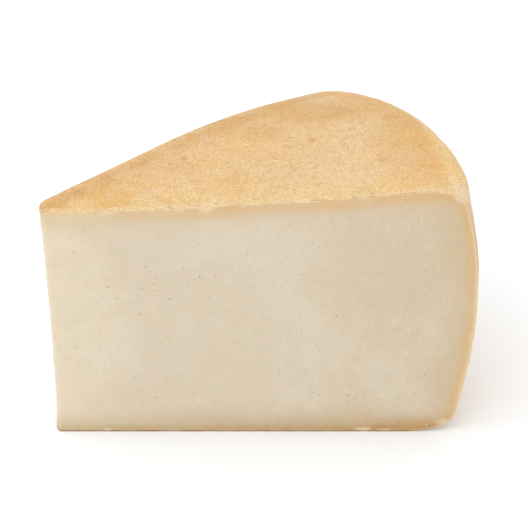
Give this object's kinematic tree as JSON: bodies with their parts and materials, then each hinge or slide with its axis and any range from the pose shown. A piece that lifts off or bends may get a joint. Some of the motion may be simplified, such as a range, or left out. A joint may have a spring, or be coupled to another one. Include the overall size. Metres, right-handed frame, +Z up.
{
  "type": "wedge of hard sheep's-milk cheese",
  "caption": "Blunt-tipped wedge of hard, pale cheese cut from a low wheel: tan rind on its top, side and base, ivory paste with fine eyes and slits on its cut faces.",
  "frame": {"origin": "bottom centre of the wedge's bounding box, on the surface that it stands on", "axes": "+X along the front cut, from the blunt tip towards the rim; +Y from the front cut towards the back cut; +Z up"},
  "size_m": [0.1508, 0.1066, 0.0987],
  "materials": {
    "cheese": "satin: ivory paste on the cuts, tan grained rind on the top, side and base"
  },
  "bodies": {
    "root": {"cheese_wedge": "cheese"}
  },
  "joints": []
}
